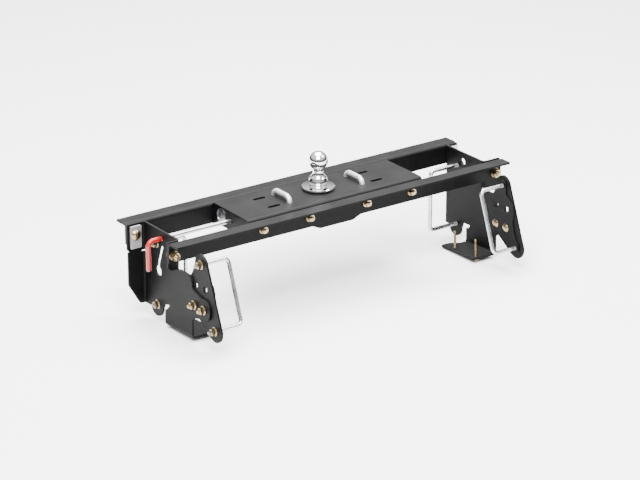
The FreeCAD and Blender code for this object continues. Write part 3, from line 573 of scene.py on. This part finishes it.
def hex_head(bm, matrix, flats, height):
    """A hexagonal head with a round chamfer on its far face."""
    made = bmesh.new()
    crown = flats * 0.475
    ring = bmesh.ops.create_circle(made, cap_ends=True, radius=flats / 2, segments=24)["verts"]
    for vert in ring:
        turn = math.atan2(vert.co.y, vert.co.x) % math.radians(60) - math.radians(30)
        vert.co *= 1 / math.cos(turn)
    loop = list(made.edges)
    loop, verts = extend(made, loop)
    for vert in verts:
        vert.co.z = height - max(0.0, vert.co.to_2d().length - crown) * 0.58
    loop, verts = extend(made, loop)
    for vert in verts:
        flat = vert.co.to_2d().normalized() * crown
        vert.co = (flat.x, flat.y, height)
    bmesh.ops.edgeloop_fill(made, edges=loop)
    add_to(bm, made, matrix)


def round_shank(bm, start, end, radius):
    loop = start_ring(bm, facing(start, Vector(end) - Vector(start)), radius, ROUND)
    loop, verts = extend(bm, loop)
    bmesh.ops.translate(bm, vec=Vector(end) - Vector(start), verts=verts)
    bmesh.ops.edgeloop_fill(bm, edges=loop)


def hex_bolt(bm, seat, direction, size, flats, head, plain, length, pitch):
    """A hex bolt: head behind its seat, a plain shank, and then its thread."""
    seat = Vector(seat)
    direction = Vector(direction)
    hex_head(bm, facing(seat, -direction), flats, head)
    round_shank(bm, seat, seat + direction * plain, size / 2)
    threaded_end(bm, seat + direction * plain, direction, length - plain, size / 2, pitch)


def carriage_bolt(bm, seat, direction, size, head, rise, neck, length, pitch):
    """A carriage bolt: low domed head, square neck, and then its thread."""
    seat = Vector(seat)
    direction = Vector(direction)
    radius = (head * head / 4 + rise * rise) / (2 * rise)
    made = bmesh.new()
    middle = rise - radius
    steps = 8
    half = math.asin(head / 2 / radius)
    last = made.verts.new((0, 0, rise))
    for i in range(1, steps + 1):
        turn = half * i / steps
        vert = made.verts.new((radius * math.sin(turn), 0, middle + radius * math.cos(turn)))
        made.edges.new((last, vert))
        last = vert
    centre = made.verts.new((0, 0, 0))
    made.edges.new((last, centre))
    bmesh.ops.spin(
        made, geom=made.verts[:] + made.edges[:], cent=(0, 0, 0), axis=(0, 0, 1),
        angle=2 * math.pi, steps=ROUND, use_merge=True,
    )
    bmesh.ops.remove_doubles(made, verts=made.verts, dist=1e-6)
    add_to(bm, made, facing(seat, -direction))
    square = Matrix.Diagonal((size, size, neck, 1))
    square = facing(seat + direction * (neck / 2), direction) @ square
    bmesh.ops.create_cube(bm, size=1.0, matrix=square)
    threaded_end(bm, seat + direction * neck, direction, length - neck, size / 2, pitch)


HALF_INCH = 12.7 * MM
HEAD_BOLT_X = (-271.0, -104.0, 104.0, 271.0)
bm = bmesh.new()
for side in (-1, 1):
    for x in HEAD_BOLT_X:
        seat = (x * MM, side * HEAD_WALL, -34 * MM)
        hex_bolt(
            bm, seat, (0, side, 0), size=HALF_INCH, flats=19 * MM, head=8 * MM,
            plain=12 * MM, length=33 * MM, pitch=HALF_INCH_PITCH,
        )
new_piece(bm, "head_bolt_set", yellow_zinc, "frame", ["head_bolts"])

END_BOLT = 15.88 * MM
END_PITCH = 2.3 * MM
bm = bmesh.new()
for x in (-582.0, 594.0):
    hex_bolt(
        bm, (x * MM, -HEAD_WALL, -44 * MM), (0, -1, 0), size=END_BOLT, flats=24 * MM,
        head=10 * MM, plain=12 * MM, length=2 * SHEET + 26 * MM, pitch=END_PITCH,
    )
new_piece(
    bm, "rail_end_hex_bolt_set", yellow_zinc, "frame", ["rail_end_hex_bolts"]
)

bm = bmesh.new()
for x, head in ((-592.0, 32.0), (580.5, 25.0)):
    carriage_bolt(
        bm, (x * MM, HEAD_WALL - 8 * MM, -38 * MM), (0, 1, 0), size=END_BOLT,
        head=head * MM, rise=8 * MM, neck=7 * MM, length=42 * MM, pitch=END_PITCH,
    )
new_piece(
    bm, "rail_end_carriage_bolt_set", yellow_zinc, "frame",
    ["rail_end_carriage_bolts"],
)

PACKING_FACE = 544.8 * MM
bm = bmesh.new()
for side in (-1, 1):
    for y in (-172.0, -221.0):
        carriage_bolt(
            bm, (side * PACKING_FACE, y * MM, -179.0 * MM), (side, 0, 0),
            size=HALF_INCH, head=27 * MM, rise=6.5 * MM, neck=5 * MM, length=37 * MM,
            pitch=HALF_INCH_PITCH,
        )
new_piece(bm, "joint_bolt_set", yellow_zinc, "frame", ["joint_bolts"])

FOOT_REAR = Vector((0, -160 * MM, -290 * MM))
FOOT_TILT = math.radians(2.8)
bm = bmesh.new()
for side in (-1, 1):
    for y in (-45.0, -148.0):
        hex_bolt(
            bm, (side * 490 * MM, y * MM, FOOT_REAR.z), (0, 0, 1), size=8 * MM,
            flats=13 * MM, head=5.5 * MM, plain=6 * MM, length=63.35 * MM, pitch=1.41 * MM,
        )
lean = Matrix.Rotation(-FOOT_TILT, 3, "X")
bmesh.ops.rotate(bm, cent=FOOT_REAR, matrix=lean, verts=bm.verts)
new_piece(bm, "foot_bolt_set", yellow_zinc, "frame", ["foot_bolts"])

# Handle grip ---------------------------------------------------------------------------------
# The rod's bent end is dipped in red vinyl, which leaves a soft glossy skin that thins to a
# rolled lip at its start and hangs in a rounded drop at the tip.
red_vinyl, nodes, links, shader, place = new_material("red_vinyl")
dip = use_group(nodes, links, place, grain, Scale=260.0)
red = add_ramp(nodes, links, dip["Patches"], (0.24, 0.004, 0.004), (0.34, 0.010, 0.008))
links.new(red, shader.inputs["Base Color"])
links.new(add_range(nodes, links, dip["Height"], 0.24, 0.36), shader.inputs["Roughness"])
shader.inputs["Coat Weight"].default_value = 0.25
shader.inputs["Coat Roughness"].default_value = 0.2
add_bump(nodes, links, shader, dip["Height"], 0.25, 0.0003)

ROD_Z = -30.0 * MM
# Radii in mm where the skin starts, where it rolls over, and along the grip.
LIP, ROLL, GRIP = 6.5, 7.3, 7.8
GRIP_BEND = 17 * MM
GRIP_TIP = 5.5 * MM
start = Vector((-552 * MM, 0, ROD_Z))
corner = Vector((-603 * MM, 0, ROD_Z))
end = Vector((-603 * MM, 0, ROD_Z - 92 * MM + GRIP_TIP))
bm = bmesh.new()
loop = start_ring(bm, facing(start, (-1, 0, 0)), LIP * MM, ROUND)
bmesh.ops.edgeloop_fill(bm, edges=loop)
for step, size in ((0.5, ROLL / LIP), (1.0, GRIP / ROLL)):
    loop, verts = extend(bm, loop)
    start = start - Vector((step * MM, 0, 0))
    bmesh.ops.translate(bm, vec=(-step * MM, 0, 0), verts=verts)
    for vert in verts:
        vert.co = start + (vert.co - start) * size
loop = sweep(bm, loop, [start, corner, end], GRIP_BEND, steps=14)
dome = 6
for i in range(1, dome):
    before = math.pi / 2 * (i - 1) / dome
    after = math.pi / 2 * i / dome
    was = math.cos(before)
    now = math.cos(after)
    drop = GRIP_TIP * (math.sin(after) - math.sin(before))
    loop, verts = extend(bm, loop)
    end = end - Vector((0, 0, drop))
    bmesh.ops.translate(bm, vec=(0, 0, -drop), verts=verts)
    for vert in verts:
        vert.co.x = end.x + (vert.co.x - end.x) * now / was
        vert.co.y = end.y + (vert.co.y - end.y) * now / was
bmesh.ops.edgeloop_fill(bm, edges=loop)
new_piece(
    bm, "dipped_grip", red_vinyl, "release_handle", ["handle_grip"], sharp=60.0
)
